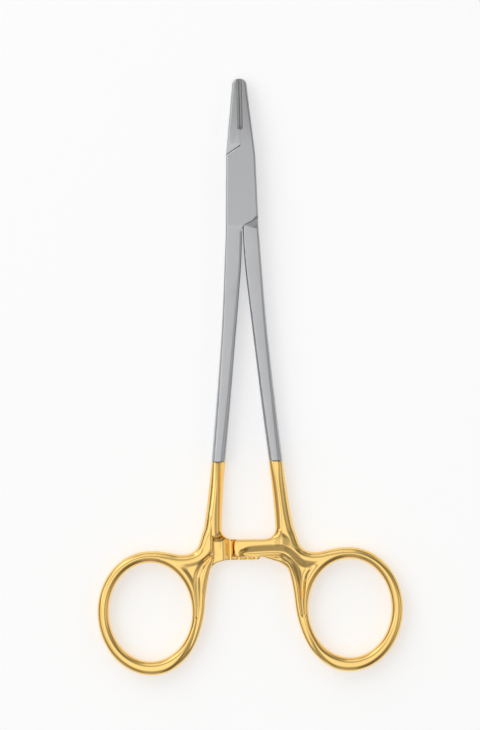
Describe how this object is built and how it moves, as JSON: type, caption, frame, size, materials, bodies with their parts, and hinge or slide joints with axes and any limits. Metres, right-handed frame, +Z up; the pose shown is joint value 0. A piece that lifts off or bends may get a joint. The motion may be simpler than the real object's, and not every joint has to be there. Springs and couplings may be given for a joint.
{
  "type": "surgical needle holder",
  "caption": "Ring-handled surgical needle holder with a box lock, a ratchet between gold-plated handles and carbide inserts in its jaws.",
  "frame": {"origin": "on the pivot axis of the box lock, in the plane of the box's underside, on which the instrument lies", "axes": "+Y from the pivot towards the jaw tips, +X towards the right ring, +Z up from the underside through the thickness"},
  "size_m": [0.082, 0.1598, 0.0056],
  "materials": {
    "satin_steel": "satin stainless steel, plated gold from the middle of the shanks down",
    "gold_plating": "polished gold plating on the handles, from the middle of the shanks down",
    "pin_steel": "satin, ground flush",
    "carbide": "dark grey sintered carbide, cross-cut"
  },
  "bodies": {
    "box_arm": {"box_half": "satin_steel", "pivot_pin": "pin_steel", "carbide_insert_right": "carbide"},
    "tongue_arm": {"tongue_half": "satin_steel", "carbide_insert_left": "carbide"}
  },
  "joints": [
    {"name": "box_lock", "type": "hinge", "parent": "box_arm", "child": "tongue_arm", "pos_m": [0, 0, 0.0028], "axis": [0, 0, 1], "range_deg": [0, 45]}
  ]
}
